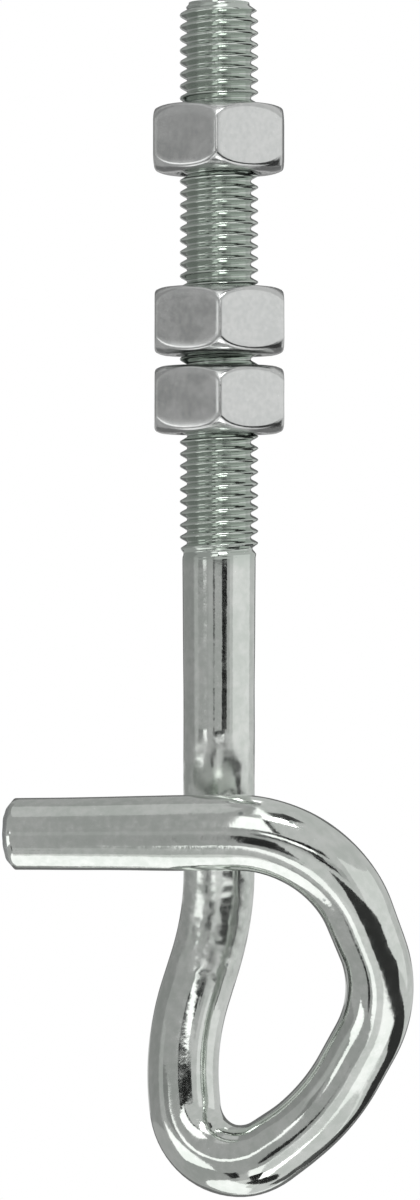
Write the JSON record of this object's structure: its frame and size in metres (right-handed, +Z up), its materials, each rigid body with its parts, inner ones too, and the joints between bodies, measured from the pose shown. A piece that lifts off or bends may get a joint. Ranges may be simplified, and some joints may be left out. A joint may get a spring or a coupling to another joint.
{
  "type": "swing hook",
  "caption": "Zinc-plated threaded rod with a bent pigtail eye at its foot and hexagon nuts that clamp it through a beam, to hang a swing.",
  "frame": {"origin": "on the rod axis, in the plane of the middle nut's upper face, which meets the underside of a beam", "axes": "+Z up the rod towards its threaded end, +X towards the round side of the eye, and -Y towards the front, where the free tail crosses the shank"},
  "size_m": [0.0602, 0.0345, 0.1761],
  "materials": {
    "zinc_rod": "bright zinc plating, smooth and fairly glossy",
    "zinc_nut": "zinc plating, satin"
  },
  "bodies": {
    "hook": {"hook_rod": "zinc_rod"},
    "upper_nut": {"upper_nut": "zinc_nut"},
    "middle_nut": {"middle_nut": "zinc_nut"},
    "lower_nut": {"lower_nut": "zinc_nut"}
  },
  "joints": [
    {"name": "upper_nut_travel", "type": "slide", "parent": "hook", "child": "upper_nut", "axis": [0, 0, 1], "range_m": [-0.00875, 0.014]},
    {"name": "middle_nut_travel", "type": "slide", "parent": "hook", "child": "middle_nut", "axis": [0, 0, 1], "range_m": [0, 0.007]},
    {"name": "lower_nut_travel", "type": "slide", "parent": "hook", "child": "lower_nut", "axis": [0, 0, 1], "range_m": [-0.01575, 0]}
  ]
}
